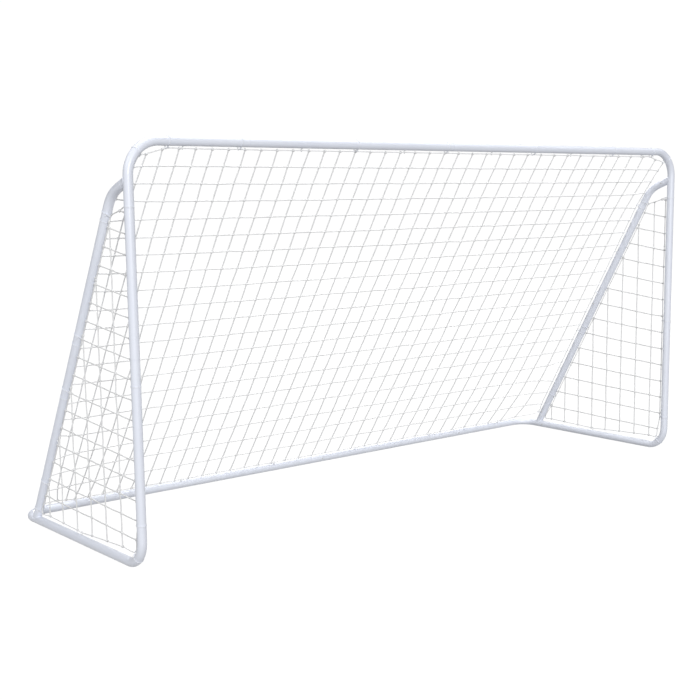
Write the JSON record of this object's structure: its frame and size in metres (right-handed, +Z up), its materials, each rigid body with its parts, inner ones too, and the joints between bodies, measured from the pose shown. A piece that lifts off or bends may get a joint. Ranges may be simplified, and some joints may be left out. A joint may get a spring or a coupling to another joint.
{
  "type": "soccer goal frame",
  "caption": "Free-standing portable soccer goal of rounded push-fit steel tube with sloping back stays, a rectangular ground frame and a square-mesh net.",
  "frame": {"origin": "on the ground at the middle of the goal's footprint, which is the bottom centre of its bounding box", "axes": "+X from the left upright to the right one seen from in front, +Y from the mouth to the rear bar, +Z up"},
  "size_m": [3.66, 1.22, 1.83],
  "materials": {
    "white_powder_coat": "smooth semi-gloss powder coat",
    "spring_steel": "bright zinc plate",
    "white_nylon": "moulded, matte",
    "net_cord": "twisted polyethylene cord, matte"
  },
  "bodies": {
    "frame": {"base_side_left": "white_powder_coat", "base_side_right": "white_powder_coat", "crossbar_corner_left": "white_powder_coat", "crossbar_corner_right": "white_powder_coat", "crossbar_tube_left": "white_powder_coat", "crossbar_tube_right": "white_powder_coat", "rear_corner_left": "white_powder_coat", "rear_corner_right": "white_powder_coat", "rear_tube_left": "white_powder_coat", "rear_tube_right": "white_powder_coat", "stay_lower_left": "white_powder_coat", "stay_lower_right": "white_powder_coat", "stay_upper_left": "white_powder_coat", "stay_upper_right": "white_powder_coat", "hook_base_left": "white_nylon", "hook_base_right": "white_nylon", "hook_crossbar_left_1": "white_nylon", "hook_crossbar_left_2": "white_nylon", "hook_crossbar_left_3": "white_nylon", "hook_crossbar_right_1": "white_nylon", "hook_crossbar_right_2": "white_nylon", "hook_crossbar_right_3": "white_nylon", "hook_rear_left_1": "white_nylon", "hook_rear_left_2": "white_nylon", "hook_rear_left_3": "white_nylon", "hook_rear_right_1": "white_nylon", "hook_rear_right_2": "white_nylon", "hook_rear_right_3": "white_nylon", "hook_stay_back_left_1": "white_nylon", "hook_stay_back_left_2": "white_nylon", "hook_stay_back_right_1": "white_nylon", "hook_stay_back_right_2": "white_nylon", "hook_stay_side_left_1": "white_nylon", "hook_stay_side_left_2": "white_nylon", "hook_stay_side_right_1": "white_nylon", "hook_stay_side_right_2": "white_nylon", "hook_upright_left_1": "white_nylon", "hook_upright_left_2": "white_nylon", "hook_upright_right_1": "white_nylon", "hook_upright_right_2": "white_nylon", "net_back": "net_cord", "net_side_left": "net_cord", "net_side_right": "net_cord"},
    "snap_button_crossbar_left": {"button_crossbar_left": "spring_steel"},
    "snap_button_crossbar_middle": {"button_crossbar_middle": "spring_steel"},
    "snap_button_crossbar_right": {"button_crossbar_right": "spring_steel"},
    "snap_button_rear_left": {"button_rear_left": "spring_steel"},
    "snap_button_rear_middle": {"button_rear_middle": "spring_steel"},
    "snap_button_rear_right": {"button_rear_right": "spring_steel"},
    "snap_button_side_left": {"button_side_left": "spring_steel"},
    "snap_button_side_right": {"button_side_right": "spring_steel"},
    "snap_button_stay_foot_left": {"button_stay_foot_left": "spring_steel"},
    "snap_button_stay_foot_right": {"button_stay_foot_right": "spring_steel"},
    "snap_button_stay_head_left": {"button_stay_head_left": "spring_steel"},
    "snap_button_stay_head_right": {"button_stay_head_right": "spring_steel"},
    "snap_button_stay_middle_left": {"button_stay_middle_left": "spring_steel"},
    "snap_button_stay_middle_right": {"button_stay_middle_right": "spring_steel"},
    "snap_button_upright_left": {"button_upright_left": "spring_steel"},
    "snap_button_upright_right": {"button_upright_right": "spring_steel"}
  },
  "joints": [
    {"name": "press_crossbar_left", "type": "slide", "parent": "frame", "child": "snap_button_crossbar_left", "axis": [0, -1, 0], "range_m": [0, 0.0046], "stiffness_N_per_m": 2500, "springref_m": -0.002},
    {"name": "press_crossbar_middle", "type": "slide", "parent": "frame", "child": "snap_button_crossbar_middle", "axis": [0, -1, 0], "range_m": [0, 0.0046], "stiffness_N_per_m": 2500, "springref_m": -0.002},
    {"name": "press_crossbar_right", "type": "slide", "parent": "frame", "child": "snap_button_crossbar_right", "axis": [0, -1, 0], "range_m": [0, 0.0046], "stiffness_N_per_m": 2500, "springref_m": -0.002},
    {"name": "press_rear_left", "type": "slide", "parent": "frame", "child": "snap_button_rear_left", "axis": [0, 1, 0], "range_m": [0, 0.0046], "stiffness_N_per_m": 2500, "springref_m": -0.002},
    {"name": "press_rear_middle", "type": "slide", "parent": "frame", "child": "snap_button_rear_middle", "axis": [0, 1, 0], "range_m": [0, 0.0046], "stiffness_N_per_m": 2500, "springref_m": -0.002},
    {"name": "press_rear_right", "type": "slide", "parent": "frame", "child": "snap_button_rear_right", "axis": [0, 1, 0], "range_m": [0, 0.0046], "stiffness_N_per_m": 2500, "springref_m": -0.002},
    {"name": "press_side_left", "type": "slide", "parent": "frame", "child": "snap_button_side_left", "axis": [-1, 0, 0], "range_m": [0, 0.0046], "stiffness_N_per_m": 2500, "springref_m": -0.002},
    {"name": "press_side_right", "type": "slide", "parent": "frame", "child": "snap_button_side_right", "axis": [1, 0, 0], "range_m": [0, 0.0046], "stiffness_N_per_m": 2500, "springref_m": -0.002},
    {"name": "press_stay_foot_left", "type": "slide", "parent": "frame", "child": "snap_button_stay_foot_left", "axis": [-1, 0, 0], "range_m": [0, 0.0046], "stiffness_N_per_m": 2500, "springref_m": -0.002},
    {"name": "press_stay_foot_right", "type": "slide", "parent": "frame", "child": "snap_button_stay_foot_right", "axis": [1, 0, 0], "range_m": [0, 0.0046], "stiffness_N_per_m": 2500, "springref_m": -0.002},
    {"name": "press_stay_head_left", "type": "slide", "parent": "frame", "child": "snap_button_stay_head_left", "axis": [-1, 0, 0], "range_m": [0, 0.0046], "stiffness_N_per_m": 2500, "springref_m": -0.002},
    {"name": "press_stay_head_right", "type": "slide", "parent": "frame", "child": "snap_button_stay_head_right", "axis": [1, 0, 0], "range_m": [0, 0.0046], "stiffness_N_per_m": 2500, "springref_m": -0.002},
    {"name": "press_stay_middle_left", "type": "slide", "parent": "frame", "child": "snap_button_stay_middle_left", "axis": [-1, 0, 0], "range_m": [0, 0.0046], "stiffness_N_per_m": 2500, "springref_m": -0.002},
    {"name": "press_stay_middle_right", "type": "slide", "parent": "frame", "child": "snap_button_stay_middle_right", "axis": [1, 0, 0], "range_m": [0, 0.0046], "stiffness_N_per_m": 2500, "springref_m": -0.002},
    {"name": "press_upright_left", "type": "slide", "parent": "frame", "child": "snap_button_upright_left", "axis": [0, -1, 0], "range_m": [0, 0.0046], "stiffness_N_per_m": 2500, "springref_m": -0.002},
    {"name": "press_upright_right", "type": "slide", "parent": "frame", "child": "snap_button_upright_right", "axis": [0, -1, 0], "range_m": [0, 0.0046], "stiffness_N_per_m": 2500, "springref_m": -0.002}
  ]
}
